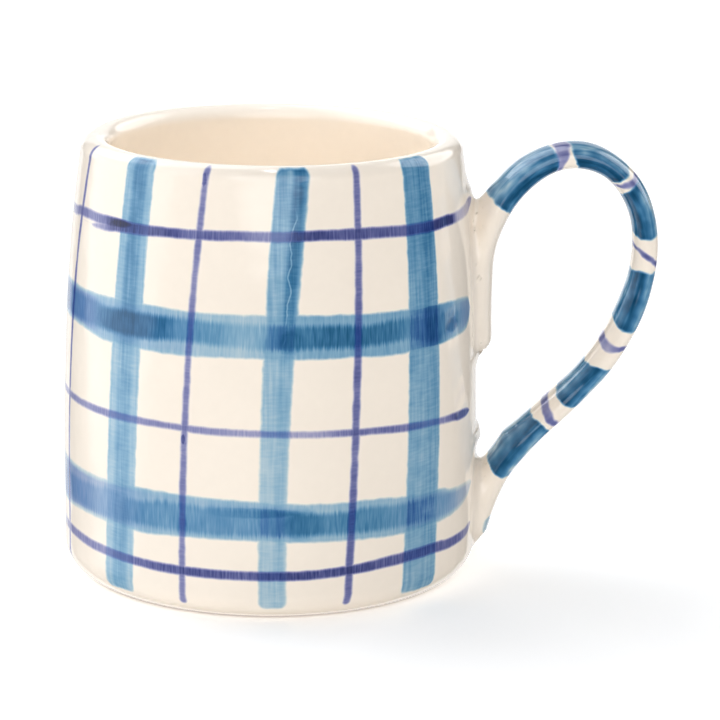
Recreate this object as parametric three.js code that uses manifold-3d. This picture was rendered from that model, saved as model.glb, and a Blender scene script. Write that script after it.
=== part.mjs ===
// A hand-painted stoneware mug: a thrown cup, a strap handle, and the two slip joints that hold the handle on.
// Millimetres, +Z up. The mug stands on z = 0 and its handle points along +X.

import * as THREE from "three";
import { mergeVertices } from "three/addons/utils/BufferGeometryUtils.js";
import Module from "manifold-3d";

const wasm = await Module();
wasm.setup();

// ---------------------------------------------------------------- driving dimensions

// Cup
const cupHeight = 95.3;
const bellyRadius = 45; // outside, at its widest
const bellyHeight = 22; // the wall is upright below this and draws in above it
const lipRadius = 41.05; // outside, where the wall turns over into the lip
const lipThickness = 6.15; // the lip is a half round this thick
const wallThickness = 5;
const taperPower = 2.45; // 1 would be a straight cone, more keeps the belly full for longer
const thickening = 4; // the same for how the wall swells to the lip's thickness
const heelRadius = 6.3; // rounding between the wall and the foot
const floorHeight = 7; // inside, above the table
const floorCorner = 9; // rounding between the floor and the wall
const footWidth = 5.5; // the flat ring that the mug stands on
const recessDepth = 2; // the underside inside that ring
const recessSlope = 1.5;

const cupSegments = 72;
const wallSteps = 11;
const lipSteps = 8;
const cornerSteps = 5;

// Handle: the strap's middle line and thickness, from the end of the tab that is pressed down the wall,
// up and over the loop, to the tail that is smeared down to the heel. x is from the cup's axis.
const strap = [
  { x: 45.3, z: 48.6, thickness: 5.6 },
  { x: 45.1, z: 61.0, thickness: 5.6 },
  { x: 46.0, z: 72.6, thickness: 6.0 },
  { x: 49.5, z: 81.2, thickness: 6.6 },
  { x: 56.8, z: 88.6, thickness: 6.3 },
  { x: 65.7, z: 91.1, thickness: 6.0 },
  { x: 73.2, z: 88.4, thickness: 5.4 },
  { x: 79.0, z: 80.8, thickness: 5.4 },
  { x: 80.8, z: 70.2, thickness: 5.8 },
  { x: 78.3, z: 58.0, thickness: 6.0 },
  { x: 70.5, z: 44.0, thickness: 6.2 },
  { x: 58.2, z: 31.4, thickness: 6.2 },
  { x: 50.4, z: 22.4, thickness: 6.8 },
  { x: 46.8, z: 14.5, thickness: 6.0 },
  { x: 45.0, z: 6.4, thickness: 4.8 },
];
const strapWidth = 13;
const edgeDepth = 5; // the strap's long edges are rounded this far in from each side
const edgeDrop = 1.8; // and this far down from its two faces

const strapSteps = 52;
const endSteps = 5;
const edgeSteps = 3;

// Slip joints: a thin layer of slip between the strap and the wall, squeezed out a little all round it
const slipThickness = 0.6;
const slipBead = 1.5;
const seamGap = 0.3; // between the wall, the slip and the strap
const jointSplit = 38; // the height that parts the upper joint from the lower one

// ---------------------------------------------------------------- solids

// A closed three.js geometry as a manifold-3d solid.
function solid(geometry) {
  const bare = geometry.clone();
  bare.deleteAttribute("normal");
  bare.deleteAttribute("uv");
  const merged = mergeVertices(bare);
  const mesh = new wasm.Mesh({
    numProp: 3,
    vertProperties: new Float32Array(merged.attributes.position.array),
    triVerts: new Uint32Array(merged.index.array),
  });
  return new wasm.Manifold(mesh);
}

// A manifold-3d solid as a three.js geometry.
function geometryOf(manifold) {
  const mesh = manifold.getMesh();
  const geometry = new THREE.BufferGeometry();
  geometry.setAttribute("position", new THREE.BufferAttribute(mesh.vertProperties, 3));
  geometry.setIndex(new THREE.BufferAttribute(mesh.triVerts, 1));
  geometry.computeVertexNormals();
  return geometry;
}

// A profile of (radius, height) points turned about the +Z axis.
function turned(profile) {
  return new THREE.LatheGeometry(profile, cupSegments).rotateX(Math.PI / 2);
}

// Points of an arc about (x, y). Angles are in degrees from the x axis towards the y axis.
function arc(x, y, radius, from, to, steps) {
  const points = [];
  for (let i = 0; i <= steps; i += 1) {
    const angle = THREE.MathUtils.degToRad(THREE.MathUtils.lerp(from, to, i / steps));
    points.push(new THREE.Vector2(x + radius * Math.cos(angle), y + radius * Math.sin(angle)));
  }
  return points;
}

// ---------------------------------------------------------------- cup

const lipStart = cupHeight - lipThickness / 2;
const footRadius = bellyRadius - heelRadius;

// 0 up to the belly and 1 where the lip starts.
function taper(height) {
  return Math.max(0, (height - bellyHeight) / (lipStart - bellyHeight));
}

function outerRadius(height) {
  return bellyRadius - (bellyRadius - lipRadius) * taper(height) ** taperPower;
}

function innerRadius(height) {
  return outerRadius(height) - wallThickness - (lipThickness - wallThickness) * taper(height) ** thickening;
}

// The cup's outside, from the foot up to the lip, moved outwards by an offset.
function outside(offset) {
  const points = arc(footRadius, heelRadius, heelRadius + offset, -90, 0, cornerSteps);
  for (let i = 1; i <= wallSteps; i += 1) {
    const height = THREE.MathUtils.lerp(heelRadius, lipStart, i / wallSteps);
    points.push(new THREE.Vector2(outerRadius(height) + offset, height));
  }
  return points;
}

// The cup's inside, from the lip down to the middle of the floor.
function inside() {
  const points = [];
  const cornerStart = floorHeight + floorCorner;
  for (let i = 1; i < wallSteps; i += 1) {
    const height = THREE.MathUtils.lerp(lipStart, cornerStart, i / wallSteps);
    points.push(new THREE.Vector2(innerRadius(height), height));
  }
  const cornerRadius = innerRadius(cornerStart) - floorCorner;
  points.push(...arc(cornerRadius, cornerStart, floorCorner, 0, -90, cornerSteps));
  points.push(new THREE.Vector2(0, floorHeight));
  return points;
}

function cupGeometry() {
  const footInside = footRadius - footWidth;
  const underside = [
    new THREE.Vector2(0, recessDepth),
    new THREE.Vector2(footInside - recessSlope, recessDepth),
    new THREE.Vector2(footInside, 0),
  ];
  const lip = arc(lipRadius - lipThickness / 2, lipStart, lipThickness / 2, 0, 180, lipSteps);
  return turned([...underside, ...outside(0), ...lip.slice(1), ...inside()]);
}

// All the space that the cup takes up, its hollow too, grown by an offset.
function cupSpace(offset) {
  const wall = outside(offset);
  const profile = [
    new THREE.Vector2(0, -offset),
    ...wall,
    new THREE.Vector2(lipRadius + offset, cupHeight + offset),
    new THREE.Vector2(0, cupHeight + offset),
  ];
  return solid(turned(profile));
}

// ---------------------------------------------------------------- handle

const middleLine = new THREE.CatmullRomCurve3(strap.map((point) => new THREE.Vector3(point.x, point.z)));

// The strap's thickness at a place along it, from 0 at the tab's end to 1 at the tail's.
function strapThickness(place) {
  const last = strap.length - 1;
  const before = Math.min(Math.floor(place * last), last - 1);
  const share = THREE.MathUtils.smoothstep(place * last - before, 0, 1);
  return THREE.MathUtils.lerp(strap[before].thickness, strap[before + 1].thickness, share);
}

// The strap's middle, half thickness and heading at a place along it.
function strapSection(place) {
  const middle = middleLine.getPoint(place);
  const along = middleLine.getTangent(place);
  return {
    middle,
    half: strapThickness(place) / 2,
    heading: THREE.MathUtils.radToDeg(Math.atan2(along.y, along.x)),
  };
}

// A point on the strap's outline: half a thickness from the middle, turned from the heading by an angle.
function outlinePoint({ middle, half, heading }, turn) {
  const angle = THREE.MathUtils.degToRad(heading + turn);
  return new THREE.Vector2(middle.x + half * Math.cos(angle), middle.y + half * Math.sin(angle));
}

// The strap seen from the side, as a closed outline: one face, the tail's round end, the other face
// and the tab's round end.
function strapOutline() {
  const sections = [];
  for (let i = 0; i <= strapSteps; i += 1) {
    sections.push(strapSection(i / strapSteps));
  }
  const underFace = sections.map((section) => outlinePoint(section, -90));
  const topFace = sections.map((section) => outlinePoint(section, 90)).reverse();
  const tailEnd = [];
  const tabEnd = [];
  for (let i = 1; i < endSteps; i += 1) {
    const turn = (180 * i) / endSteps - 90;
    tailEnd.push(outlinePoint(sections.at(-1), turn));
    tabEnd.push(outlinePoint(sections[0], turn + 180));
  }
  return [...underFace, ...tailEnd, ...topFace, ...tabEnd];
}

// The outline made as wide as the strap, with its long edges rounded, and grown by a margin.
function strapSolid(outline, margin) {
  const depth = strapWidth - 2 * edgeDepth + 2 * margin;
  const geometry = new THREE.ExtrudeGeometry(new THREE.Shape(outline), {
    depth,
    steps: 1,
    bevelThickness: edgeDepth,
    bevelSize: edgeDrop,
    bevelOffset: margin - edgeDrop,
    bevelSegments: edgeSteps,
  });
  geometry.translate(0, 0, -depth / 2);
  geometry.rotateX(Math.PI / 2);
  return solid(geometry);
}

// ---------------------------------------------------------------- slip joints

// The layer of slip against the wall wherever the strap, with its bead, comes to it.
function slipLayer(outline) {
  const layer = cupSpace(seamGap + slipThickness).subtract(cupSpace(seamGap));
  return layer.intersect(strapSolid(outline, slipBead));
}

// All the space above the joint split (side 1) or below it (side -1).
function halfSpace(side) {
  const reach = 4 * cupHeight;
  const box = new THREE.BoxGeometry(reach, reach, reach);
  return solid(box.translate(0, 0, jointSplit + (side * reach) / 2));
}

// ---------------------------------------------------------------- assembly

const glaze = { color: 0xf6efe3, roughness: 0.12, metalness: 0 };
const slipClay = { color: 0xe9dfce, roughness: 0.35, metalness: 0 };

function piece(name, geometry, finish) {
  const mesh = new THREE.Mesh(geometry, new THREE.MeshStandardMaterial(finish));
  mesh.name = name;
  return mesh;
}

const outline = strapOutline();
const handle = strapSolid(outline, 0).subtract(cupSpace(2 * seamGap + slipThickness));
const slip = slipLayer(outline);

const mug = new THREE.Group();
mug.add(piece("cup_body", cupGeometry(), glaze));
mug.add(piece("handle", geometryOf(handle), glaze));
mug.add(piece("upper_slip_joint", geometryOf(slip.intersect(halfSpace(1))), slipClay));
mug.add(piece("lower_slip_joint", geometryOf(slip.intersect(halfSpace(-1))), slipClay));

// The origin lies on the table, under the middle of the mug's whole length, handle included.
const handleReach = Math.max(...outline.map((point) => point.x));
mug.position.x = (bellyRadius - handleReach) / 2;

const part = new THREE.Group();
part.add(mug);

export default part;
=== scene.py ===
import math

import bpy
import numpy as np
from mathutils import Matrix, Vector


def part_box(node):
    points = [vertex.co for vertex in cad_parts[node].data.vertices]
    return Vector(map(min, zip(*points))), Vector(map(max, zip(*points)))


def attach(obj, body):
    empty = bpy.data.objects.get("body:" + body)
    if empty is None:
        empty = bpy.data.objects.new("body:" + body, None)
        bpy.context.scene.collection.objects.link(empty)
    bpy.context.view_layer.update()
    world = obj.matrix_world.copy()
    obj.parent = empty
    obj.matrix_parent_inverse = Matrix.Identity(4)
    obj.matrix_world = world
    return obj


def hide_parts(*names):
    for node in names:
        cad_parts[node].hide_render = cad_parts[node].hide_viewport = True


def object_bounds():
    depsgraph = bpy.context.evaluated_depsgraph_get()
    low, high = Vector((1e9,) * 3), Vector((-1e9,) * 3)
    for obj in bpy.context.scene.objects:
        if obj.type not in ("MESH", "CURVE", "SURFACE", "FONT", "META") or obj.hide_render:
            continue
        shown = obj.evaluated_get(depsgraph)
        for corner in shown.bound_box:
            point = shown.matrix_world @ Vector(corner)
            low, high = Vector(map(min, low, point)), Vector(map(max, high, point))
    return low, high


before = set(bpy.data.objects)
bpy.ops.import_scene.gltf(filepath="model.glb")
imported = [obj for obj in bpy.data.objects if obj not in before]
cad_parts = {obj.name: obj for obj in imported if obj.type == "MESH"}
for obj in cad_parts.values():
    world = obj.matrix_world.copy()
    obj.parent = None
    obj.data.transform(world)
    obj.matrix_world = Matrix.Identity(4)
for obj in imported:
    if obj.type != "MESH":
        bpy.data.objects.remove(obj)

# A stoneware mug with a blue plaid painted on it by hand under a clear glaze.
# The cup, the strap handle and the two slip joints are modelled here over the CAD nodes of the same names.
# Shapes are worked out in millimetres from the cup's axis and the table, as the mug was designed, and
# are brought to the frame's metres when a mesh is made.

cad_low, cad_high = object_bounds()
cup_low, cup_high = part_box("cup_body")

# ---------------------------------------------------------------- driving dimensions, in millimetres

HEIGHT = 95.3
BELLY = 45.0  # outside radius at the widest
BELLY_TOP = 22.0  # the wall draws in above this
LIP = 41.05  # outside radius where the wall turns over
LIP_THICK = 6.15
WALL = 5.0  # thickness at the belly
TAPER = 2.45  # the more this is, the higher up the wall draws in
THICKENING = 4.0  # the more this is, the higher up the wall thickens into the lip
HEEL = 6.3  # radius of the rounded outer edge at the bottom
FLOOR = 7.0  # height of the cup's floor
FLOOR_CORNER = 9.0  # radius between floor and wall inside
FOOT_RING = 5.5  # width of the ring that the mug stands on
RECESS = 2.0  # depth under the mug inside that ring
LIP_START = HEIGHT - LIP_THICK / 2

AXIS_X = (cup_low[0] + cup_high[0]) / 2  # where the cup's axis stands in the frame, in metres
MM = (cup_high[2] - cup_low[2]) / HEIGHT  # a millimetre of the mug, in metres

# The strap's middle line: from the tab pressed down the wall, over the loop, to the tail at the heel.
# Distance from the cup's axis, height, thickness and width.
STRAP = np.array(
    [
        (45.3, 48.6, 5.5, 12.6),
        (45.1, 61.0, 5.6, 13.0),
        (46.0, 72.6, 6.0, 12.9),
        (49.5, 81.2, 6.5, 12.6),
        (56.8, 88.6, 6.1, 12.2),
        (65.7, 91.1, 5.8, 12.0),
        (73.2, 88.4, 5.4, 11.8),
        (79.0, 80.8, 5.4, 11.7),
        (80.8, 70.2, 5.7, 11.8),
        (78.3, 58.0, 5.9, 12.0),
        (70.5, 44.0, 6.1, 12.2),
        (58.2, 31.4, 6.2, 12.5),
        (50.4, 22.4, 6.6, 12.9),
        (46.8, 14.5, 6.0, 13.2),
        (45.0, 6.4, 4.8, 13.2),
    ]
)
SECTION_POWER = 2.2  # the strap's section: 2 is an ellipse, more is squarer
END_ROUNDING = 3.2  # length over which each end of the strap rounds off


# ---------------------------------------------------------------- shape of the cup


def taper(z):
    return np.clip((z - BELLY_TOP) / (LIP_START - BELLY_TOP), 0, None)


def outer_radius(z):
    return BELLY - (BELLY - LIP) * taper(z) ** TAPER


def inner_radius(z):
    return outer_radius(z) - WALL - (LIP_THICK - WALL) * taper(z) ** THICKENING


def outside(z):
    """The cup's outside radius at any height, heel and lip included."""
    heel = BELLY - HEEL + np.sqrt(np.clip(HEEL**2 - (HEEL - z) ** 2, 0, None))
    lip = LIP - LIP_THICK / 2 + np.sqrt(np.clip((LIP_THICK / 2) ** 2 - (z - LIP_START) ** 2, 0, None))
    return np.where(z < HEEL, heel, np.where(z > LIP_START, lip, outer_radius(z)))


def unevenness(angle, z):
    """How far the hand-worked wall stands in from its true circle."""
    slow = np.sin(2 * angle + 0.6) + 0.6 * np.sin(3 * angle - 1.1 + z * 0.02)
    rings = np.sin(z * 0.16 + 0.5 * np.sin(angle + 0.4))
    return 0.07 * (1.6 - slow) * 0.6 + 0.02 * (1 + rings)


def arc(r, z, radius, start, end, steps):
    angles = np.radians(np.linspace(start, end, steps + 1))
    return [(r + radius * math.cos(a), z + radius * math.sin(a)) for a in angles]


def cup_profile():
    """(radius, height, share of the unevenness) from the middle of the underside round to the floor."""
    foot = BELLY - HEEL
    ring = foot - FOOT_RING
    edge = 0.8  # rounding of the foot ring's inner edge
    points = [(r, RECESS - 0.25 * (r / ring) ** 2, 0) for r in np.linspace(0, ring - 3, 10)]
    points += [(r, z, 0) for r, z in arc(ring - 2.2, RECESS - 0.6, 0.6, 90, 20, 4)]
    points += [(r, z, 0) for r, z in arc(ring + edge, edge, edge, 200, 270, 4)]
    points += [(r, 0, 0) for r in np.linspace(ring + edge, foot, 6)[1:-1]]
    points += [(r, z, min(1, z / 3)) for r, z in arc(foot, HEEL, HEEL, -90, 0, 16)]
    points += [(float(outer_radius(z)), z, 1) for z in np.linspace(HEEL, LIP_START, 74)[1:]]
    lip = arc(LIP - LIP_THICK / 2, LIP_START, LIP_THICK / 2, 0, 180, 22)
    points += [(r, z, 1) for r, z in lip[1:]]
    corner = FLOOR + FLOOR_CORNER
    points += [(float(inner_radius(z)), z, 1) for z in np.linspace(LIP_START, corner, 60)[1:]]
    bend = arc(float(inner_radius(corner)) - FLOOR_CORNER, corner, FLOOR_CORNER, 0, -90, 12)
    points += [(r, z, 1) for r, z in bend[1:]]
    last = bend[-1][0]
    points += [(r, FLOOR + 0.25 * (r / last - 1), r / last) for r in np.linspace(last, 0, 12)[1:]]
    return points


# ---------------------------------------------------------------- meshes


def to_frame(points):
    """Millimetres from the cup's axis to metres in the frame."""
    points = np.asarray(points, float) * MM
    return points + np.array([AXIS_X, 0.0, cup_low[2]])


def make_piece(name, points, faces):
    mesh = bpy.data.meshes.new(name)
    mesh.from_pydata(to_frame(points).tolist(), [], faces)
    mesh.validate()
    mesh.shade_smooth()
    piece = bpy.data.objects.new(name, mesh)
    bpy.context.scene.collection.objects.link(piece)
    return piece


def grid_faces(rings, around, offset=0):
    """Quads between rings of points, each ring closed on itself."""
    faces = []
    for i in range(rings - 1):
        for j in range(around):
            k = (j + 1) % around
            a = offset + i * around
            b = a + around
            faces.append((a + j, a + k, b + k, b + j))
    return faces


def make_cup():
    around = 288
    profile = cup_profile()
    angles = np.linspace(0, 2 * math.pi, around, endpoint=False)
    points = [(0, 0, profile[0][1])]
    for r, z, share in profile[1:-1]:
        radius = r - share * unevenness(angles, z)
        points += np.stack([radius * np.cos(angles), radius * np.sin(angles), 0 * angles + z], 1).tolist()
    points.append((0, 0, profile[-1][1]))
    rings = len(profile) - 2
    last = len(points) - 1
    faces = grid_faces(rings, around, 1)
    for j in range(around):
        k = (j + 1) % around
        faces.append((0, 1 + k, 1 + j))
        faces.append((last, last - around + j, last - around + k))
    return make_piece("cup_painted", points, faces)


# ---------------------------------------------------------------- shape of the strap


def smooth_curve(points, count):
    """A natural cubic spline through the points, by the distance along their first two columns."""
    step = np.linalg.norm(np.diff(points[:, :2], axis=0), axis=1)
    at = np.concatenate([[0], np.cumsum(step)])
    n = len(points)
    system = np.eye(n)
    right = np.zeros_like(points)
    for i in range(1, n - 1):
        system[i, i - 1 : i + 2] = step[i - 1], 2 * (step[i - 1] + step[i]), step[i]
        right[i] = 6 * ((points[i + 1] - points[i]) / step[i] - (points[i] - points[i - 1]) / step[i - 1])
    bend = np.linalg.solve(system, right)
    t = np.linspace(0, at[-1], count)
    k = np.clip(np.searchsorted(at, t, side="right") - 1, 0, n - 2)
    h = step[k][:, None]
    a = at[k + 1][:, None] - t[:, None]
    b = t[:, None] - at[k][:, None]
    cubic = (bend[k] * a**3 + bend[k + 1] * b**3) / (6 * h)
    return cubic + (points[k] / h - bend[k] * h / 6) * a + (points[k + 1] / h - bend[k + 1] * h / 6) * b


class Strap:
    """The strap's middle line at close steps: place along it, position, heading and half sizes."""

    def __init__(self, count=1500):
        line = smooth_curve(STRAP, count)
        step = np.linalg.norm(np.diff(line[:, :2], axis=0), axis=1)
        self.along = np.concatenate([[0], np.cumsum(step)])
        self.length = self.along[-1]
        self.middle = line[:, :2]
        heading = np.gradient(self.middle, self.along, axis=0)
        self.heading = heading / np.linalg.norm(heading, axis=1)[:, None]
        self.normal = np.stack([-self.heading[:, 1], self.heading[:, 0]], 1)  # towards the loop's outside
        # Rolled by hand, it swells, thins and strays sideways a little.
        rounded = self.rounding(self.along)
        uneven = 0.05 * np.sin(self.along * 0.21) + 0.04 * np.sin(self.along * 0.47 + 1)
        self.half_thick = (line[:, 2] / 2 - 0.06 + uneven) * rounded
        self.half_wide = (line[:, 3] / 2 + 2 * uneven) * rounded**0.8
        self.sideways = 0.15 * np.sin(self.along * 0.05 + 0.5)

    def rounding(self, along):
        end = np.minimum(along, self.length - along) / END_ROUNDING
        return np.sqrt(np.clip(1 - np.clip(1 - end, 0, 1) ** 2, 1e-4, 1))

    def at(self, along):
        def value(column):
            return np.interp(along, self.along, column)

        middle = np.stack([value(self.middle[:, 0]), value(self.middle[:, 1])], 1)
        normal = np.stack([value(self.normal[:, 0]), value(self.normal[:, 1])], 1)
        return middle, normal, value(self.half_thick), value(self.half_wide), value(self.sideways)

    def place_of(self, points):
        """Along the strap, out from its middle and sideways, for points near it."""
        result = []
        for point in points:
            offset = point[[0, 2]] - self.middle
            near = np.argmin((offset**2).sum(1))
            out = offset[near] @ self.normal[near]
            result.append((self.along[near], out, point[1] - self.sideways[near]))
        return result

    def distance(self, points):
        """Roughly how far points are outside the strap's surface, in millimetres."""
        result = np.empty(len(points))
        for start in range(0, len(points), 20000):
            part = points[start : start + 20000]
            gap = part[:, None, [0, 2]] - self.middle[None, ::5]
            near = np.argmin((gap**2).sum(2), axis=1) * 5
            offset = part[:, [0, 2]] - self.middle[near]
            out = np.abs((offset * self.normal[near]).sum(1)) / self.half_thick[near]
            side = np.abs(part[:, 1] - self.sideways[near]) / self.half_wide[near]
            beyond = (offset * self.heading[near]).sum(1)
            p = SECTION_POWER
            size = np.maximum((out**p + side**p) ** (1 / p), 1e-3)
            slope_out = (out / size) ** (p - 1) / self.half_thick[near]
            slope_side = (side / size) ** (p - 1) / self.half_wide[near]
            across = (size - 1) / np.maximum(np.hypot(slope_out, slope_side), 0.02)
            ends = (near == 0) | (near >= len(self.along) - 6)
            result[start : start + 20000] = np.where(ends, np.hypot(np.maximum(across, 0), beyond), across)
        return result


strap = Strap()


def mark_strap_place(piece, places):
    """Record on each point of a piece where it lies on the strap, for the painted dashes."""
    marks = piece.data.attributes.new("strap_place", "FLOAT_VECTOR", "POINT")
    marks.data.foreach_set("vector", np.array(places, dtype=np.float32).ravel())


def make_handle():
    around = 64
    # Rings lie closer together where the ends round off.
    inner = np.linspace(END_ROUNDING, strap.length - END_ROUNDING, 230)
    cap = END_ROUNDING * (1 - np.cos(np.linspace(0, math.pi / 2, 12)))[:-1]
    places = np.concatenate([cap, inner, strap.length - cap[::-1]])
    middle, normal, thick, wide, sideways = strap.at(places)
    turn = np.linspace(0, 2 * math.pi, around, endpoint=False)
    power = 2 / SECTION_POWER
    out = np.sign(np.cos(turn)) * np.abs(np.cos(turn)) ** power
    side = np.sign(np.sin(turn)) * np.abs(np.sin(turn)) ** power
    points = []
    strap_places = []
    for i, place in enumerate(places):
        for j in range(around):
            x, z = middle[i] + normal[i] * thick[i] * out[j]
            points.append((x, sideways[i] + wide[i] * side[j], z))
            strap_places.append((place, thick[i] * out[j], wide[i] * side[j]))
    faces = grid_faces(len(places), around)
    faces.append(tuple(range(around)))
    faces.append(tuple(reversed(range(len(points) - around, len(points)))))
    piece = make_piece("handle_painted", points, faces)
    mark_strap_place(piece, strap_places)
    return piece


# ---------------------------------------------------------------- slip fillets


def wall_distance(points):
    """How far points are outside the cup's wall, in millimetres."""
    angle = np.arctan2(points[:, 1], points[:, 0])
    radius = np.hypot(points[:, 0], points[:, 1])
    z = np.clip(points[:, 2], 0.05, HEIGHT)
    wall = outside(z) - unevenness(angle, z) * np.clip(z / 3, 0, 1)
    # Over the heel the radius changes quickly with height, so the distance is taken square to the surface.
    slope = (outside(np.clip(z + 0.1, 0.05, HEIGHT)) - outside(np.clip(z - 0.1, 0.05, HEIGHT))) / 0.2
    return (radius - wall) / np.sqrt(1 + np.clip(slope, -4, 4) ** 2)


# Height up the wall, and how broadly the slip rounds the corner between strap and wall there: most
# where the strap leaves the wall at a sharp angle.
REACH = np.array(
    [
        (0, 4.2),
        (26, 4.2),
        (29, 9.5),
        (31, 10.5),
        (33.5, 6.5),
        (36, 4.4),
        (48.5, 5),
        (53, 3.2),
        (76, 3.2),
        (84, 8.3),
    ]
)
BURIED = 1.5  # how far a fillet reaches into the strap and the wall
TUCK = 0.5  # how fast its skin dips under them past where it lands


def blended(a, b, reach):
    """The lesser of two distances, rounded where they are nearly equal."""
    blend = np.maximum(reach - np.abs(a - b), 0) / reach
    return np.minimum(a, b) - blend**2 * reach / 4


def reach_at(points):
    """The reach of the slip's rounding at the points' heights."""
    return np.interp(points[:, 2], REACH[:, 0], REACH[:, 1])


def skin_field(points):
    """Negative inside the strap, the wall and the slip between them."""
    return blended(strap.distance(points), wall_distance(points), reach_at(points))


def fillet_field(points):
    """Negative inside the slip alone, with its edges tucked under the strap and the wall."""
    reach = reach_at(points)
    from_strap = strap.distance(points)
    from_wall = wall_distance(points)
    over_strap = from_strap + TUCK * np.maximum(from_wall - reach, 0) ** 2
    over_wall = from_wall + TUCK * np.maximum(from_strap - reach, 0) ** 2
    skin = blended(over_strap, over_wall, reach)
    return np.maximum(skin, np.maximum(-from_strap, -from_wall) - BURIED)


def slope_of(field, points, nudge=0.02):
    """A field at each point, and how fast it rises along each axis."""
    here = field(points)
    return here, np.stack([(field(points + nudge * e) - here) / nudge for e in np.eye(3)], 1)


def surface_net(field, low, high, step):
    """A quad mesh of the surface where a field crosses zero: one point for each cell that it crosses."""
    axes = [np.arange(low[i], high[i] + step, step) for i in range(3)]
    grid = np.stack(np.meshgrid(*axes, indexing="ij"), -1)
    shape = grid.shape[:3]
    values = field(grid.reshape(-1, 3)).reshape(shape)
    cells = tuple(n - 1 for n in shape)

    def corner(i, j, k):
        return values[i : i + cells[0], j : j + cells[1], k : k + cells[2]]

    total = np.zeros(cells + (3,))
    crossings = np.zeros(cells)
    for axis in range(3):
        for p in (0, 1):
            for q in (0, 1):
                start = [p, q]
                start.insert(axis, 0)
                end = list(start)
                end[axis] = 1
                a = corner(*start)
                b = corner(*end)
                cut = (a < 0) != (b < 0)
                share = np.where(cut, a / np.where(cut, a - b, 1), 0)
                place = np.array(start, float) + np.zeros(cells + (3,))
                place[..., axis] += share
                total += place * cut[..., None]
                crossings += cut
    used = crossings > 0
    index = -np.ones(cells, int)
    index[used] = np.arange(used.sum())
    origin = np.stack(np.meshgrid(*[np.arange(n) for n in cells], indexing="ij"), -1)
    points = (origin[used] + total[used] / crossings[used][:, None]) * step + np.array([a[0] for a in axes])
    faces = []
    for axis in range(3):
        other = [i for i in range(3) if i != axis]
        first = [slice(1, n - 1) for n in shape]
        first[axis] = slice(0, shape[axis] - 1)
        second = list(first)
        second[axis] = slice(1, shape[axis])
        a = values[tuple(first)] < 0
        b = values[tuple(second)] < 0
        places = np.argwhere(a != b)
        inward = a[a != b]
        places[:, other] += 1

        def cell(p, q):
            moved = places.copy()
            moved[:, other[0]] -= p
            moved[:, other[1]] -= q
            return index[tuple(moved.T)]

        quads = np.stack([cell(1, 1), cell(0, 1), cell(0, 0), cell(1, 0)], 1)
        flip = inward if axis != 1 else ~inward
        quads[~flip] = quads[~flip][:, ::-1]
        faces += quads.tolist()
    return points, faces


def settle(points, faces, field, rounds=6):
    """Spread points evenly over the surface and pull each one exactly onto it."""
    quads = np.array(faces)
    pairs = np.concatenate([quads[:, [i, (i + 1) % 4]] for i in range(4)])
    for _ in range(rounds):
        total = np.zeros_like(points)
        count = np.zeros(len(points))
        for a, b in ((0, 1), (1, 0)):
            np.add.at(total, pairs[:, a], points[pairs[:, b]])
            np.add.at(count, pairs[:, a], 1)
        points = points + 0.5 * (total / count[:, None] - points)
        here, slope = slope_of(field, points)
        steep = np.maximum((slope**2).sum(1), 0.2)
        points = points - np.clip(here / steep, -0.4, 0.4)[:, None] * slope
    return points


def make_fillet(name, low, high, step=0.55):
    """The slip's surface within a box, in millimetres from the cup's axis and the table."""
    points, faces = surface_net(fillet_field, low, high, step)
    points = settle(points, faces, fillet_field)
    piece = make_piece(name, points, faces)
    # Shading follows the whole blended skin, so the light runs on unbroken from the wall to the strap.
    here, slope = slope_of(skin_field, points)
    own = np.array([v.normal for v in piece.data.vertices])
    normals = slope / np.maximum(np.linalg.norm(slope, axis=1), 1e-6)[:, None]
    hidden = here < -1.1  # this deep the skin's slope says nothing about the fillet's own surface
    normals[hidden] = own[hidden]
    piece.data.normals_split_custom_set_from_vertices(normals.tolist())
    mark_strap_place(piece, strap.place_of(points))
    return piece


cup = make_cup()
handle = make_handle()
upper_fillet = make_fillet("upper_slip_fillet", (37, -13, 40), (60, 13, 95))
lower_fillet = make_fillet("lower_slip_fillet", (37, -13, 0.1), (62, 13, 45))

for piece, nodes, slot in (
    (cup, ("cup_body",), "cup_glaze"),
    (handle, ("handle",), "handle_glaze"),
    (upper_fillet, ("upper_slip_joint",), "slip"),
    (lower_fillet, ("lower_slip_joint",), "slip"),
):
    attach(piece, "root")
    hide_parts(*nodes)

# ---------------------------------------------------------------- arithmetic with shader nodes


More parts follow.
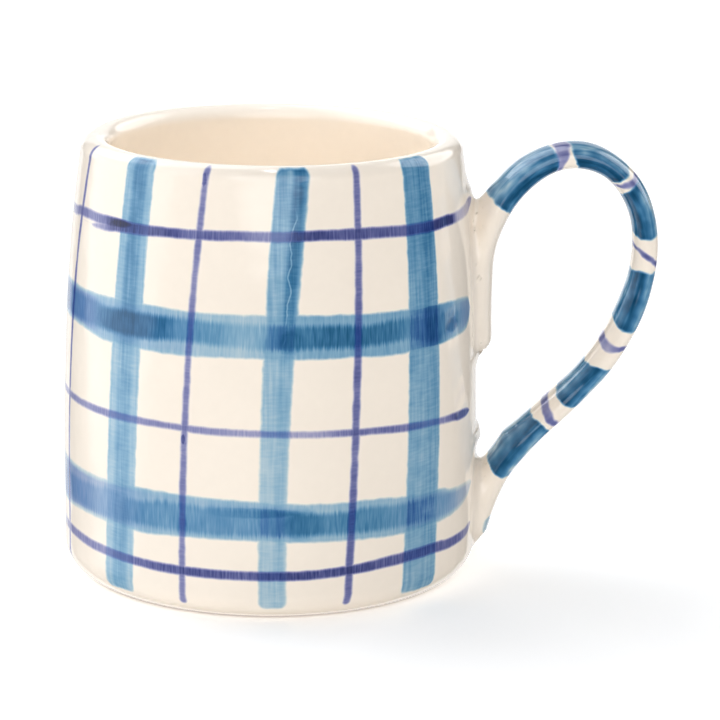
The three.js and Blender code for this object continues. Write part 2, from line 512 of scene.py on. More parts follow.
class Field:
    """A number that shader nodes work out at every point of a surface."""

    def __init__(self, tree, socket):
        self.tree = tree
        self.socket = socket

    def __add__(self, other):
        return calculate("ADD", self, other)

    def __sub__(self, other):
        return calculate("SUBTRACT", self, other)

    def __rsub__(self, other):
        return calculate("SUBTRACT", other, self)

    def __mul__(self, other):
        return calculate("MULTIPLY", self, other)

    def __truediv__(self, other):
        return calculate("DIVIDE", self, other)

    def __pow__(self, other):
        return calculate("POWER", self, other)

    def __abs__(self):
        return calculate("ABSOLUTE", self)

    __radd__ = __add__
    __rmul__ = __mul__

    def ramp(self, start, end, low=0.0, high=1.0):
        """low up to start, high from end on, and a smooth rise from one to the other."""
        node = self.tree.nodes.new("ShaderNodeMapRange")
        node.interpolation_type = "SMOOTHSTEP"
        for socket, value in zip(node.inputs, (self, start, end, low, high)):
            feed(socket, value)
        return Field(self.tree, node.outputs[0])

    def follow(self, rows, smooth=True):
        """A line through the rows' (place, value) pairs, level before the first and after the last."""
        first = rows[0][0]
        last = rows[-1][0]
        low = min(value for _, value in rows)
        span = max(value for _, value in rows) - low
        if span == 0:
            return low
        node = self.tree.nodes.new("ShaderNodeFloatCurve")
        curve = node.mapping.curves[0]
        marks = [((place - first) / (last - first), (value - low) / span) for place, value in rows]
        curve.points[0].location = marks[0]
        curve.points[1].location = marks[-1]
        for mark in marks[1:-1]:
            curve.points.new(*mark)
        for point in curve.points:
            point.handle_type = "AUTO_CLAMPED" if smooth else "VECTOR"
        node.mapping.extend = "HORIZONTAL"
        node.mapping.update()
        feed(node.inputs["Value"], (self - first) / (last - first))
        return Field(self.tree, node.outputs[0]) * span + low


def feed(socket, value):
    """Give a node's input a plain number or the outcome of other nodes."""
    if isinstance(value, Field):
        value.tree.links.new(value.socket, socket)
    else:
        socket.default_value = value


def calculate(operation, *values):
    tree = next(value.tree for value in values if isinstance(value, Field))
    node = tree.nodes.new("ShaderNodeMath")
    node.operation = operation
    for socket, value in zip(node.inputs, values):
        feed(socket, value)
    return Field(tree, node.outputs[0])


def least(*values):
    result = values[0]
    for value in values[1:]:
        result = calculate("MINIMUM", result, value)
    return result


def most(a, b):
    return calculate("MAXIMUM", a, b)


def hypot(a, b):
    return calculate("SQRT", a * a + b * b)


def noise(x, y, z, detail=1.0):
    """A soft random number about 0, seldom beyond 1, that changes over a distance of about 1."""
    tree = x.tree
    place = tree.nodes.new("ShaderNodeCombineXYZ")
    for socket, value in zip(place.inputs, (x, y, z)):
        feed(socket, value)
    node = tree.nodes.new("ShaderNodeTexNoise")
    node.inputs["Scale"].default_value = 1.0
    node.inputs["Detail"].default_value = detail
    tree.links.new(place.outputs[0], node.inputs["Vector"])
    return Field(tree, node.outputs[0]) * 4 - 2


def layered(strokes):
    """Strokes of one pigment over each other: a crossing is darker than either, but not by their sum."""
    power = 3
    total = 0
    for stroke in strokes:
        total = stroke**power + total
    return total ** (1 / power)


# ---------------------------------------------------------------- the painted plaid
#
# Places on the wall are millimetres: "around" is measured along the belly from the front, positive
# towards the handle on the right, and "height" from the table. A pigment's density is 0 on bare glaze;
# about 1 is a pale wash and 2.5 the darkest pooling.

SPACING = BELLY * math.pi / 4  # between wide strokes; the thin ones run midway
TOP_END = 95.0  # where the strokes down the wall start and end
LOW_END = 3.1
EDGE = 0.4  # how far a stroke's edge fades, each way
MID_WALL = 42.2  # radius half way through the wall, at the belly
MID_LIP = 38.4  # and near the lip

# Wide blue strokes down the wall: number round from the front, sideways shift at the top, middle and
# bottom, half width at the top and bottom, wash at the top and bottom, then the darker core's place and
# half width as shares of the half width, its strength in the upper and in the lower part, and whether it
# is scratched.
WIDE_STROKES = (
    (-5, 1.8, 0.4, -1.2, 3.9, 3.3, 1.3, 0.9, -0.3, 0.40, 0.9, 0.3, 0),
    (-4, -1.6, 0.3, 1.0, 4.3, 3.9, 1.5, 1.2, 0.1, 0.60, 0.6, 0.4, 1),
    (-3, 0.9, -0.8, -1.5, 3.7, 3.2, 1.2, 0.8, 0.5, 0.30, 1.1, 0.3, 0),
    (-2, -5.0, -2.5, 0.0, 4.0, 3.6, 1.4, 1.0, -0.1, 0.30, 0.6, 0.6, 0),
    (-1, 3.0, 1.35, -0.5, 4.1, 4.2, 1.35, 1.0, 0.05, 0.45, 1.0, 0.6, 0),
    (0, 4.9, 1.25, 0.5, 3.7, 2.8, 1.75, 0.85, 0.45, 0.30, 1.3, 0.3, 1),
    (1, 1.5, 1.1, -0.2, 4.5, 4.95, 2.0, 1.45, 0.4, 0.35, 0.5, 0.1, 0),
)

# Thin indigo strokes down the wall: number, sideways shift at the top, middle and bottom, half width,
# density.
THIN_STROKES = (
    (-5, 0.9, -0.5, 1.1, 0.70, 1.5),
    (-4, -1.2, 0.7, -0.4, 0.62, 1.4),
    (-3, 1.6, 1.2, -0.6, 0.70, 1.7),
    (-2, -0.4, -4.6, -5.6, 0.66, 1.4),
    (-1, 2.85, -0.3, -1.25, 0.64, 1.45),
    (0, 2.0, 0.75, -1.1, 0.74, 1.8),
)

# Wide blue strokes round the wall: place around, bottom and top edge, wash, bottom and top of the
# darker core, the core's strength, and a share of indigo picked up by the brush.
UPPER_BLUE = (
    (-205, 61.0, 60.0, 0.9, 59.0, 63.0, 0.5, 0.3),
    (-202, 58.2, 64.2, 1.0, 59.0, 63.0, 0.8, 0.2),
    (-170, 57.2, 65.2, 1.0, 58.6, 63.4, 1.4, 0.0),
    (-140, 56.6, 64.4, 1.0, 58.2, 62.6, 0.9, 0.1),
    (-110, 57.0, 65.4, 1.0, 58.8, 63.4, 1.5, 0.0),
    (-80, 57.6, 65.4, 1.0, 59.0, 63.6, 1.0, 0.3),
    (-60, 57.6, 65.4, 0.9, 58.8, 64.0, 0.7, 0.6),
    (-45, 56.8, 65.5, 1.0, 58.6, 64.0, 1.0, 0.4),
    (-40, 56.3, 65.6, 1.1, 58.6, 63.4, 1.4, 0.1),
    (-34, 56.3, 65.7, 1.15, 58.6, 63.8, 1.9, 0.1),
    (-26, 56.3, 65.7, 1.15, 58.8, 63.8, 2.1, 0.1),
    (-20, 56.3, 65.5, 1.0, 59.3, 63.9, 1.1, 0.1),
    (-12, 56.5, 65.4, 1.0, 59.0, 63.7, 0.9, 0.0),
    (-6, 56.6, 65.4, 0.9, 58.8, 63.6, 0.5, 0.0),
    (0, 56.4, 65.5, 1.1, 58.4, 63.4, 1.1, 0.0),
    (10, 56.3, 65.3, 1.45, 58.6, 63.1, 1.7, 0.0),
    (16, 56.3, 65.1, 1.5, 58.3, 62.9, 1.9, 0.0),
    (22, 55.9, 64.8, 1.5, 58.3, 62.4, 1.6, 0.0),
    (28, 55.6, 64.6, 1.6, 58.3, 62.8, 1.5, 0.0),
    (34, 55.6, 64.4, 1.5, 58.0, 62.3, 0.6, 0.1),
    (37, 55.6, 64.3, 1.8, 57.4, 62.0, 0.6, 0.2),
    (40, 55.5, 64.1, 2.8, 57.0, 62.0, 0.5, 0.3),
    (42, 55.6, 64.0, 2.3, 57.0, 62.0, 0.4, 0.2),
    (44, 55.7, 63.8, 1.8, 57.4, 61.8, 0.6, 0.1),
    (47, 55.8, 63.7, 1.6, 57.6, 61.4, 0.6, 0.1),
    (52, 56.0, 63.3, 1.0, 58.0, 61.0, 0.2, 0.3),
    (56, 57.0, 62.9, 0.9, 58.0, 61.0, 0.1, 0.4),
    (59, 60.8, 59.4, 0.9, 58.0, 61.0, 0.1, 0.4),
)
LOWER_BLUE = (
    (-205, 22.0, 20.0, 0.9, 18.5, 23.0, 0.5, 0.3),
    (-202, 17.6, 24.6, 1.0, 18.5, 23.0, 0.8, 0.3),
    (-165, 16.4, 25.6, 1.0, 18.0, 23.4, 1.3, 0.0),
    (-130, 17.2, 26.0, 1.0, 18.6, 23.8, 0.8, 0.1),
    (-95, 16.4, 25.4, 1.0, 18.2, 23.0, 1.3, 0.1),
    (-60, 16.6, 26.4, 0.8, 18.2, 23.6, 0.6, 0.6),
    (-44, 17.3, 26.3, 0.6, 18.3, 24.0, 0.5, 0.4),
    (-38, 17.2, 26.5, 0.8, 18.3, 24.6, 0.6, 0.3),
    (-30, 17.1, 26.7, 1.1, 18.8, 23.8, 0.9, 0.2),
    (-22, 17.6, 26.7, 1.1, 18.8, 24.8, 0.8, 0.1),
    (-14, 17.9, 26.6, 1.1, 18.8, 24.6, 0.7, 0.1),
    (-6, 18.0, 26.4, 1.1, 19.0, 24.8, 0.8, 0.1),
    (2, 17.7, 26.1, 1.1, 19.0, 24.6, 1.0, 0.1),
    (8, 17.5, 25.6, 1.1, 19.0, 23.6, 1.3, 0.0),
    (14, 17.4, 25.5, 1.1, 18.8, 23.4, 1.3, 0.0),
    (22, 17.1, 25.4, 1.2, 18.6, 23.8, 1.1, 0.0),
    (30, 16.8, 24.7, 1.2, 18.4, 23.2, 0.8, 0.1),
    (36, 16.9, 24.5, 1.2, 18.4, 23.2, 0.6, 0.2),
    (42, 17.0, 24.0, 1.0, 18.0, 22.8, 0.4, 0.2),
    (48, 17.4, 22.7, 0.7, 18.2, 22.2, 0.2, 0.3),
    (54, 18.4, 22.4, 0.4, 19.0, 21.5, 0.1, 0.3),
    (58, 20.2, 21.9, 0.4, 19.5, 21.5, 0.1, 0.3),
    (60, 22.0, 20.6, 0.4, 19.5, 21.5, 0.1, 0.3),
)

# Indigo lines round the wall: place around, bottom and top edge, density. The upper line is two
# strokes, the second starting under the end of the first.
UPPER_LINE_START = (
    (-205, 81.7, 80.1, 1.6),
    (-202, 80.1, 81.8, 1.6),
    (-170, 80.6, 82.5, 1.9),
    (-140, 79.6, 81.4, 1.5),
    (-110, 80.0, 82.0, 2.1),
    (-80, 79.0, 80.9, 1.7),
    (-62, 79.3, 81.2, 1.3),
    (-50, 80.3, 82.2, 1.5),
    (-46, 80.2, 82.1, 1.6),
    (-42, 80.3, 82.2, 2.2),
    (-38, 80.4, 82.2, 3.0),
    (-35, 80.8, 82.0, 3.0),
    (-33, 81.8, 81.2, 2.6),
)
UPPER_LINE = (
    (-49, 79.7, 79.3, 0.9),
    (-47, 79.1, 79.9, 1.0),
    (-42, 79.2, 80.6, 1.6),
    (-38, 79.6, 81.9, 2.6),
    (-30, 79.9, 82.0, 2.4),
    (-24, 80.3, 82.1, 2.5),
    (-18, 80.4, 82.2, 1.8),
    (-12, 80.5, 82.4, 2.0),
    (-6, 80.7, 82.5, 1.8),
    (2, 80.5, 82.5, 1.6),
    (6, 80.6, 82.6, 2.6),
    (10, 80.7, 82.6, 2.6),
    (18, 80.4, 82.6, 2.3),
    (26, 80.2, 82.3, 2.2),
    (32, 79.8, 82.0, 2.0),
    (36, 79.7, 81.9, 2.0),
    (42, 79.6, 81.8, 2.7),
    (47, 79.8, 81.9, 3.2),
    (50, 79.7, 81.7, 2.8),
    (53, 79.7, 81.8, 1.0),
    (60, 79.7, 82.1, 0.9),
    (64, 80.6, 82.7, 1.6),
    (68, 82.8, 81.4, 1.8),
)
MIDDLE_LINE = (
    (-205, 41.7, 40.3, 1.0),
    (-202, 40.2, 41.6, 1.2),
    (-160, 40.6, 42.0, 1.4),
    (-120, 39.6, 41.0, 1.2),
    (-90, 40.4, 41.8, 1.5),
    (-60, 40.3, 41.7, 1.1),
    (-50, 40.2, 41.6, 1.1),
    (-40, 40.2, 41.7, 1.5),
    (-30, 40.4, 41.8, 1.3),
    (-22, 40.5, 41.7, 1.3),
    (-12, 40.2, 41.6, 1.2),
    (-4, 40.2, 41.5, 1.1),
    (4, 40.0, 41.3, 1.0),
    (12, 39.8, 41.1, 1.2),
    (22, 39.5, 40.8, 1.7),
    (30, 38.9, 40.4, 1.7),
    (38, 38.6, 39.9, 1.3),
    (44, 38.1, 39.5, 1.3),
    (47, 37.9, 39.4, 2.1),
    (53, 37.3, 39.0, 2.3),
    (55, 37.5, 38.6, 2.3),
    (57, 38.6, 37.4, 2.2),
)
LOWER_LINE = (
    (-205, 11.9, 10.3, 1.6),
    (-202, 10.2, 12.0, 1.6),
    (-160, 9.6, 11.5, 2.0),
    (-120, 10.4, 12.3, 1.6),
    (-90, 9.9, 11.7, 2.0),
    (-60, 10.2, 12.0, 1.3),
    (-46, 9.9, 11.7, 1.2),
    (-40, 9.8, 11.6, 1.5),
    (-30, 9.6, 11.3, 1.9),
    (-22, 9.4, 11.2, 2.2),
    (-4, 9.4, 11.2, 2.1),
    (4, 9.4, 11.2, 2.6),
    (12, 9.6, 11.4, 2.6),
    (22, 10.0, 12.0, 2.3),
    (30, 10.3, 12.5, 2.1),
    (36, 10.4, 12.6, 2.1),
    (42, 10.2, 12.4, 1.9),
    (48, 10.0, 12.0, 1.8),
    (54, 10.1, 12.0, 1.0),
    (58, 11.2, 12.4, 0.8),
    (60, 12.7, 11.3, 0.6),
)

# Darker touches where a loaded brush was set down: place around, height, half length, half height, what
# it adds, and how much of that is gone at its right end, or at its left end if negative.
BLUE_TOUCHES = (
    (-33.0, 61.1, 11.4, 2.9, 0.6, 0.75),
    (4.4, 59.9, 3.0, 2.4, 0.6, 0.5),
    (47.0, 58.7, 2.8, 1.5, 0.9, 0.0),
    (-5.5, 23.9, 10.8, 1.1, 0.8, -0.9),
    (6.8, 21.2, 4.2, 3.3, 0.6, 0.2),
    (-116.0, 61.0, 9.0, 2.6, 0.8, 0.7),
    (-150.0, 21.5, 6.0, 2.4, 0.7, 0.6),
)
INDIGO_TOUCHES = (
    (-18.7, 38.7, 0.5, 1.0, 1.0, 0.0),
    (-15.4, 92.6, 0.6, 1.3, 0.8, 0.0),
    (-37.5, 81.4, 3.0, 0.8, 0.8, 0.0),
)


class Wall:
    """Where a point lies on the wall, and the marks of the brush there."""

    def __init__(self, tree):
        place = tree.nodes.new("ShaderNodeSeparateXYZ")
        tree.links.new(tree.nodes.new("ShaderNodeTexCoord").outputs["Object"], place.inputs[0])
        x, y, z = (Field(tree, socket) for socket in place.outputs)
        right = (x - AXIS_X) / MM
        front = y / -MM
        turn = calculate("ARCTAN2", right, front)
        past_handle = calculate("GREATER_THAN", turn, math.pi / 2)
        self.across = right
        self.front = front
        self.height = (z - cup_low[2]) / MM
        self.radius = hypot(right, front)
        self.around = (turn - past_handle * (2 * math.pi)) * BELLY
        self.ragged = noise(self.around * 0.45, self.height * 0.45, 3.0, 2.0) * 0.14
        # Fine combing left across a stroke by the bristles, round the wall and down it.
        self.comb_round = noise(self.around * 2.3, self.height * 0.22, 7.0, 1.5)
        self.comb_down = noise(self.around * 0.3, self.height * 1.7, 11.0, 1.5)
        # Streaks along the strokes down the wall, and slow changes in how wet the brush was.
        self.streaks = noise(self.around * 1.3, self.height * 0.07, 17.0, 2.5)
        self.wetness = noise(self.around * 0.16, self.height * 0.16, 23.0, 1.0)

    def through(self, top, middle, bottom):
        """The smooth curve with these values at a stroke's top end, half way and at its bottom end."""
        half = (TOP_END - LOW_END) / 2
        t = (self.height - (TOP_END + LOW_END) / 2) / half
        return middle + t * ((top - bottom) * 0.5) + t * t * ((top + bottom) * 0.5 - middle)


def end_gap(wall, corner):
    """How far a point is past where a stroke down the wall starts to round off, at either end."""
    half = (TOP_END - LOW_END) / 2
    return most(abs(wall.height - (TOP_END + LOW_END) / 2) - half + corner, 0.0)


def wide_strokes_down(wall):
    """The density of blue, how far inside its stroke a point is, and the stroke's number."""
    number = calculate("ROUND", wall.around / SPACING)
    number = least(most(number, WIDE_STROKES[0][0]), WIDE_STROKES[-1][0])

    def each(column):
        return number.follow([(row[0], row[column]) for row in WIDE_STROKES], smooth=False)

    half_top, half_low, wash_top, wash_low, core_place, core_half, strength_top, strength_low, scratched = (
        each(column) for column in range(4, 13)
    )
    corner = 1.3
    centre = number * SPACING + wall.through(each(1), each(2), each(3))
    upper = wall.height.ramp(LOW_END, TOP_END) ** 2
    half = half_low + (half_top - half_low) * upper
    wash = wash_low + (wash_top - wash_low) * upper
    offset = wall.around - centre
    side_gap = most(abs(offset) - half + corner, 0.0)
    inside = corner - hypot(side_gap, end_gap(wall, corner)) + wall.ragged
    share = offset / half
    core = (abs(share - core_place) + wall.streaks * 0.12).ramp(core_half + 0.22, core_half - 0.12)
    strength = strength_low + (strength_top - strength_low) * wall.height.ramp(52.0, 68.0)
    brushed = 1 + wall.streaks * 0.25 + wall.comb_down * 0.12 + wall.wetness * 0.14
    rim = inside.ramp(0.6, 0.15) * wall.height.ramp(92.5, 94.0) * 0.7
    # A bristle has scraped a pale wandering line down the upper part of some strokes.
    wander = 0.3 + noise(number * 3.0, wall.height * 0.18, 31.0, 2.0) * 0.22
    scraped = abs(share - wander).ramp(0.07, 0.02) * wall.height.ramp(56.0, 60.0)
    scraped = scraped * wall.height.ramp(88.0, 84.0) * scratched * 0.45
    density = (wash + core * strength) * brushed * (1 - scraped) + rim
    return inside.ramp(-EDGE, EDGE) * density, inside, number


def thin_strokes_down(wall):
    """The density of indigo."""
    number = calculate("FLOOR", wall.around / SPACING)
    number = least(most(number, THIN_STROKES[0][0]), THIN_STROKES[-1][0])

    def each(column):
        return number.follow([(row[0], row[column]) for row in THIN_STROKES], smooth=False)

    centre = (number + 0.5) * SPACING + wall.through(each(1), each(2), each(3))
    half = each(4) + wall.wetness * 0.1
    inside = half - hypot(wall.around - centre, end_gap(wall, half)) + wall.ragged * 0.6
    brushed = 1 + wall.comb_down * 0.16 + wall.wetness * 0.15
    return inside.ramp(-EDGE, EDGE) * each(5) * brushed


def round_stroke(wall, rows, column):
    """One column of a stroke round the wall, read off its rows at each point."""
    return wall.around.follow([(row[0], row[column]) for row in rows])


def wide_stroke_round(wall, rows):
    """(blue, indigo) laid by a wide stroke round the wall."""
    bottom, top, wash, core_bottom, core_top, strength, grey = (
        round_stroke(wall, rows, column) for column in range(1, 8)
    )
    inside = least(wall.height - bottom, top - wall.height) + wall.ragged
    in_core = least(wall.height - core_bottom, core_top - wall.height) + wall.comb_round * 0.35
    body = inside.ramp(-EDGE, EDGE)
    brushed = 1 + wall.comb_round * 0.2 + wall.wetness * 0.12
    blue = body * ((wash + in_core.ramp(-0.8, 0.8) * strength) * brushed)
    return blue, inside.ramp(0.2, 1.2) * grey


def line_round(wall, rows):
    """The density of indigo laid by a line round the wall."""
    bottom, top, density = (round_stroke(wall, rows, column) for column in range(1, 4))
    inside = least(wall.height - bottom, top - wall.height) + wall.ragged * 0.5
    brushed = 1 + wall.comb_round * 0.25 + wall.wetness * 0.1
    return inside.ramp(-EDGE, EDGE) * density * brushed


def touches(wall, rows):
    """What the touches add."""
    total = 0
    for around, height, half_length, half_height, amount, fade in rows:
        length = (wall.around - around) / half_length
        breadth = (wall.height - height) / half_height
        gap = hypot(length, breadth) + wall.comb_round * 0.15 + wall.ragged
        left = amount * min(1, 1 + fade)
        right = amount * min(1, 1 - fade)
        total = gap.ramp(1.2, 0.75) * length.ramp(-1.0, 1.0, left, right) + total
    return total


def plaid(wall):
    """The densities of blue and of indigo on the cup."""
    down, inside, number = wide_strokes_down(wall)
    upper, upper_grey = wide_stroke_round(wall, UPPER_BLUE)
    lower, lower_grey = wide_stroke_round(wall, LOWER_BLUE)
    blue = layered((down, upper, lower))
    blue = blue + touches(wall, BLUE_TOUCHES) * blue.ramp(0.1, 0.8)
    # Where the wide strokes cross, the second one lifts some of the first and dries greyer.
    crossing = inside.ramp(0.1, 0.5) * (upper + lower).ramp(1.2, 2.0) * number.ramp(-0.5, 0.5)
    grey = crossing * (0.45 + wall.streaks * 0.35)
    lines = (
        thin_strokes_down(wall),
        line_round(wall, UPPER_LINE_START),
        line_round(wall, UPPER_LINE),
        line_round(wall, MIDDLE_LINE),
        line_round(wall, LOWER_LINE),
    )
    indigo = layered(lines)
    indigo = indigo + touches(wall, INDIGO_TOUCHES) * indigo.ramp(0.1, 0.6)
    # No paint inside the cup, nor on the slip away from the wall.
    middle = wall.height.ramp(60.0, 90.0, MID_WALL, MID_LIP)
    on_wall = (wall.radius - middle).ramp(0.0, 0.4) * wall.radius.ramp(46.4, 45.7)
    grey = most(grey, 0.0) + upper_grey + lower_grey
    # An indigo line lifts some of the blue it crosses.
    lifted = 1 - indigo.ramp(0.6, 2.0) * 0.5
    return blue * lifted * on_wall, (indigo + grey) * on_wall


# ---------------------------------------------------------------- the painted handle
#
# Places on the strap are millimetres too: along it from the tab's lower end, out from its middle
# towards the loop's outside, and sideways.

# Blue dashes: start on the loop's inside and outside, then end on the inside and outside.
DASHES = (
    (32.0, 32.8, 47.9, 49.2),
    (53.3, 51.5, 63.4, 64.4),
    (66.8, 66.0, 78.3, 78.8),
    (86.0, 85.6, 99.6, 99.2),
    (110.2, 108.0, 120.9, 119.3),
    (127.2, 126.6, 141.6, 141.8),
)
# Indigo marks between them: place and half width on the inside, place and half width on the outside, how
# far the middle lags behind, density.
MARKS = (
    (48.4, 0.40, 50.6, 1.35, 0.0, 1.5),
    (64.0, 0.35, 65.9, 0.50, 0.4, 1.6),
    (80.6, 0.35, 85.0, 0.45, -0.5, 1.9),
    (104.2, 1.00, 102.6, 0.35, 0.6, 1.5),
    (123.8, 1.05, 124.6, 0.40, 0.3, 1.6),
)
HALF_STRAP = 2.9  # from the strap's middle to its inside or outside face


def strap_paint(tree):
    """The densities of blue and of indigo on the handle."""
    marks = tree.nodes.new("ShaderNodeAttribute")
    marks.attribute_name = "strap_place"
    split = tree.nodes.new("ShaderNodeSeparateXYZ")
    tree.links.new(marks.outputs["Vector"], split.inputs[0])
    along, out, side = (Field(tree, socket) for socket in split.outputs)
    share = out / HALF_STRAP
    on_strap = abs(out).ramp(4.6, 3.9)
    # Strokes run a little aslant round the strap's far side.
    place = along + (side + 6) * 0.14 + noise(along * 0.4, out * 0.4, side * 0.4, 1.0) * 0.3
    inner = 0.5 - share * 0.5
    outer = 0.5 + share * 0.5
    inside = -10.0
    for start_in, start_out, end_in, end_out in DASHES:
        start = inner * start_in + outer * start_out
        end = inner * end_in + outer * end_out
        bulge = share * share * 0.7
        inside = most(least(place - start, end - place) - bulge, inside)
    streaks = noise(along * 0.1, out * 0.75, side * 0.5, 2.0)
    pools = noise(along * 0.3, out * 0.35, side * 0.3 + 5.0, 1.0)
    pooled = inside.ramp(2.2, 0.6) * 0.4
    core = (abs(share + 0.25) + streaks * 0.3).ramp(0.75, 0.15) * 1.9
    blue = inside.ramp(-EDGE, EDGE) * (2.0 + streaks * 1.2 + pools * 0.9 + pooled + core)
    # A dab on the tail's outside.
    dab = hypot((along - 153.5) / 2.6, (side + 3.0) / 4.5)
    blue = blue + dab.ramp(1.0, 0.8) * out.ramp(0.6, 1.6) * 0.8
    indigo = 0
    for place_in, half_in, place_out, half_out, lag, density in MARKS:
        middle = 1 - share * share
        centre = inner * place_in + outer * place_out + middle * lag
        half = inner * half_in + outer * half_out + middle * 0.15
        within = half - abs(place - centre)
        indigo = within.ramp(-EDGE, EDGE) * (density + pools * 0.5) + indigo
    return blue * on_strap, indigo * on_strap


# ---------------------------------------------------------------- glaze and clay

CREAM = (0.94, 0.845, 0.732)
CLAY = (0.62, 0.45, 0.30)
# How strongly each pigment takes up red, green and blue light, and how much more it takes up where it
# is thick.
BLUE = (1.0, 0.51, 0.145)
BLUE_THICK = (0.0, 0.008, 0.044)
INDIGO = (1.0, 0.90, 0.29)
INDIGO_THICK = (0.0, 0.0, 0.06)


def new_material(name):
    material = bpy.data.materials.new(name)
    material.use_nodes = True
    return material, material.node_tree


def finish_glaze(tree, wall, blue, indigo):
    """Clear glaze over cream slip and the two pigments, with bare clay on the foot."""
    shader = tree.nodes["Principled BSDF"]
    x, y, z = wall.across, wall.front, wall.height
    cloud = noise(x * 0.07, y * 0.07, z * 0.07, 2.0)
    mottle = noise(x * 0.5, y * 0.5, z * 0.5, 2.0)
    thick = 1 + cloud * 0.012 + mottle * 0.008
    bare = z.ramp(0.55, 0.3) * wall.radius.ramp(32.4, 33.0)
    grit = noise(x * 3.0, y * 3.0, z * 3.0, 3.0)
    colour = tree.nodes.new("ShaderNodeCombineColor")
    for i, socket in enumerate(colour.inputs):
        by_blue = blue * (blue * BLUE_THICK[i] + BLUE[i])
        by_indigo = indigo * (indigo * INDIGO_THICK[i] + INDIGO[i])
        painted = calculate("EXPONENT", (by_blue + by_indigo) * -1.0) * thick * CREAM[i]
        rough_clay = (1 + grit * 0.12) * CLAY[i]
        feed(socket, painted + (rough_clay - painted) * bare)
    tree.links.new(colour.outputs[0], shader.inputs["Base Color"])
    feed(shader.inputs["Roughness"], 0.07 + mottle * 0.01 + bare * 0.6)
    shader.inputs["IOR"].default_value = 1.5
    bump = tree.nodes.new("ShaderNodeBump")
    bump.inputs["Distance"].default_value = 0.05 * MM
    bump.inputs["Strength"].default_value = 0.8
    ripple = noise(x * 0.16, y * 0.16, z * 0.16, 1.0)
    feed(bump.inputs["Height"], ripple + mottle * 0.06 + bare * grit * 1.5)
    tree.links.new(bump.outputs[0], shader.inputs["Normal"])


def make_cup_glaze():
    material, tree = new_material("painted_cup_glaze")
    wall = Wall(tree)
    blue, indigo = plaid(wall)
    finish_glaze(tree, wall, blue, indigo)
    return material


def make_handle_glaze():
    material, tree = new_material("painted_handle_glaze")
    wall = Wall(tree)
    blue, indigo = strap_paint(tree)
    finish_glaze(tree, wall, blue, indigo)
    return material


def make_slip_glaze():
    """The slip joints carry the ends of the cup's strokes and of the handle's."""
    material, tree = new_material("painted_slip_glaze")
    wall = Wall(tree)
    wall_blue, wall_indigo = plaid(wall)
    strap_blue, strap_indigo = strap_paint(tree)
    finish_glaze(tree, wall, most(wall_blue, strap_blue), most(wall_indigo, strap_indigo))
    return material


cup.data.materials.append(make_cup_glaze())
handle.data.materials.append(make_handle_glaze())
slip_glaze = make_slip_glaze()
for piece in (upper_fillet, lower_fillet):
    piece.data.materials.append(slip_glaze)

# ---------------------------------------------------------------- stage, light and camera

FLOOR_GLOW = 0.29  # the floor is a light table: it keeps the shadows under the mug pale


def make_floor():
    size = 6.0  # metres from the middle to each side
    height = cad_low[2] - 0.00002  # just clear of the foot ring, in metres
    mesh = bpy.data.meshes.new("studio_floor")
    corners = [(-size, -size), (size, -size), (size, size), (-size, size)]
    mesh.from_pydata([(x, y, height) for x, y in corners], [], [(0, 1, 2, 3)])
    floor = bpy.data.objects.new("studio_floor", mesh)
    bpy.context.scene.collection.objects.link(floor)
    paint, tree = new_material("studio_white")
    shader = tree.nodes["Principled BSDF"]
    shader.inputs["Base Color"].default_value = (0.93, 0.93, 0.93, 1)
    shader.inputs["Roughness"].default_value = 0.9
    shader.inputs["Emission Color"].default_value = (1, 1, 1, 1)
    shader.inputs["Emission Strength"].default_value = FLOOR_GLOW
    mesh.materials.append(paint)
    floor.visible_glossy = False  # the glaze mirrors the soft boxes and not the table


# Soft boxes standing round the mug: azimuth in degrees from the front towards the handle, height in
# degrees above the table, half width in degrees, brightness, and 1 if it is cool like a window's light.
# The last one is below the table's edge, where only the glaze's grazing reflections find it.
SOFT_BOXES = (
    (0, 24, 26, 2.45, 0),
    (-98, 22, 42, 1.25, 1),
    (-140, 46, 26, 2.2, 1),
    (124, 28, 24, 2.8, 0),
    (180, 10, 20, 0.9, 0),
    (180, -24, 30, 0.9, 0),
)
COOL = (-0.02, 0.0, 0.03)  # how much less or more red, green and blue a cool box has
BOX_EDGE = 4.0  # degrees over which a box's edge fades, each way
BACKDROP = 1.0  # how bright the plain backdrop looks to the camera


def make_world():
    """Soft boxes on a dark surround, and a plain white backdrop behind the mug."""
    world = bpy.data.worlds.new("studio")
    bpy.context.scene.world = world
    world.use_nodes = True
    tree = world.node_tree
    place = tree.nodes.new("ShaderNodeTexCoord").outputs["Generated"]
    unit = tree.nodes.new("ShaderNodeVectorMath")
    unit.operation = "NORMALIZE"
    tree.links.new(place, unit.inputs[0])
    light = 0
    cool_light = 0
    for azimuth, elevation, half, brightness, cool in SOFT_BOXES:
        a = math.radians(azimuth)
        e = math.radians(elevation)
        level = math.cos(e)
        towards = tree.nodes.new("ShaderNodeVectorMath")
        towards.operation = "DOT_PRODUCT"
        tree.links.new(unit.outputs[0], towards.inputs[0])
        towards.inputs[1].default_value = (level * math.sin(a), -level * math.cos(a), math.sin(e))
        edge = [math.cos(math.radians(half + fade)) for fade in (BOX_EDGE, -BOX_EDGE)]
        box = Field(tree, towards.outputs["Value"]).ramp(*edge, 0.0, brightness)
        light = box + light
        cool_light = box * cool + cool_light
    seen = Field(tree, tree.nodes.new("ShaderNodeLightPath").outputs["Is Camera Ray"])
    colour = tree.nodes.new("ShaderNodeCombineColor")
    for socket, cool in zip(colour.inputs, COOL):
        shade = light + cool_light * cool
        feed(socket, shade + (BACKDROP - shade) * seen)
    tree.links.new(colour.outputs[0], tree.nodes["Background"].inputs["Color"])


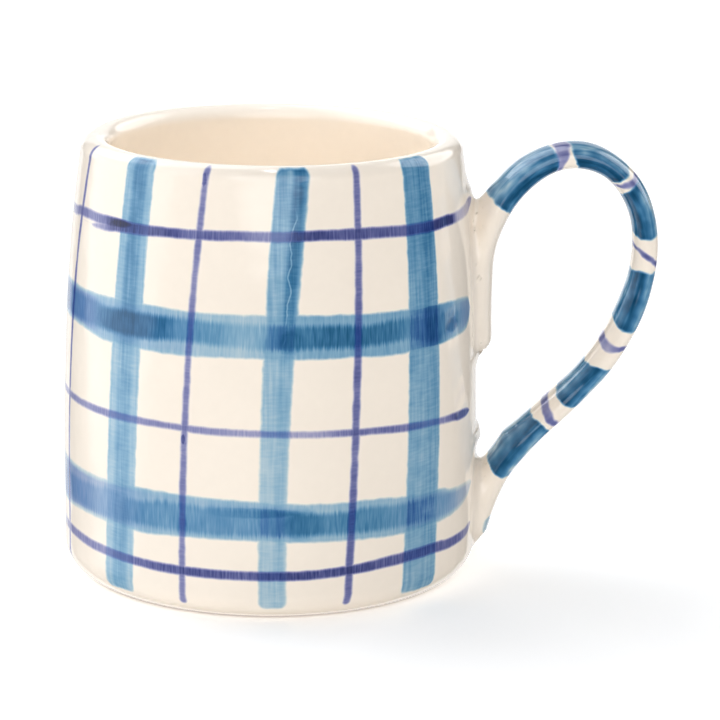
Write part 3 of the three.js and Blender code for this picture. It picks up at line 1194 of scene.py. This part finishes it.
DOWN_LIGHT_HEIGHT = 800.0  # above the table
DOWN_LIGHT_WATTS = 70.0
DOWN_LIGHT_COLOUR = (0.9, 1.0, 1.12)  # cool, against the warm light that bounces about in the cup
DOWN_LIGHT_REACH = 28.0  # radius of its pool of light at the rim


def make_down_light():
    """A narrow spot straight down into the cup, which lights the inside by what its floor throws back."""
    light = bpy.data.lights.new("down_light", "SPOT")
    light.energy = DOWN_LIGHT_WATTS
    light.color = DOWN_LIGHT_COLOUR
    light.spot_size = 2 * math.atan(DOWN_LIGHT_REACH / (DOWN_LIGHT_HEIGHT - HEIGHT))
    light.spot_blend = 0.5
    light.shadow_soft_size = 0.02
    lamp = bpy.data.objects.new("down_light", light)
    bpy.context.scene.collection.objects.link(lamp)
    lamp.location = to_frame([(0, 0, DOWN_LIGHT_HEIGHT)])[0]


CAMERA_BACK = 680.0  # in front of the cup's axis
CAMERA_UP = 216.98  # above the table
CAMERA_PITCH = 0.2472  # how far it looks down, towards the handle and askew, in radians
CAMERA_YAW = 0.0285
CAMERA_ROLL = 0.0115
CAMERA_LENS = 160.9  # focal length on a sensor 36 mm wide


def make_camera():
    data = bpy.data.cameras.new("camera")
    data.lens = CAMERA_LENS
    data.sensor_width = 36.0
    data.clip_start = 0.01
    camera = bpy.data.objects.new("camera", data)
    bpy.context.scene.collection.objects.link(camera)
    yaw, pitch, roll = CAMERA_YAW, CAMERA_PITCH, CAMERA_ROLL
    forward = Vector((math.sin(yaw) * math.cos(pitch), math.cos(yaw) * math.cos(pitch), -math.sin(pitch)))
    level = Vector((math.cos(yaw), -math.sin(yaw), 0))
    upward = level.cross(forward)
    right = math.cos(roll) * level + math.sin(roll) * upward
    up = right.cross(forward)
    turn = Matrix((right, up, -forward)).transposed().to_4x4()
    place = to_frame([(0, -CAMERA_BACK, CAMERA_UP)])[0]
    camera.matrix_world = Matrix.Translation(place) @ turn
    bpy.context.scene.camera = camera


make_floor()
make_world()
make_down_light()
make_camera()
bpy.context.scene.view_settings.view_transform = "Standard"
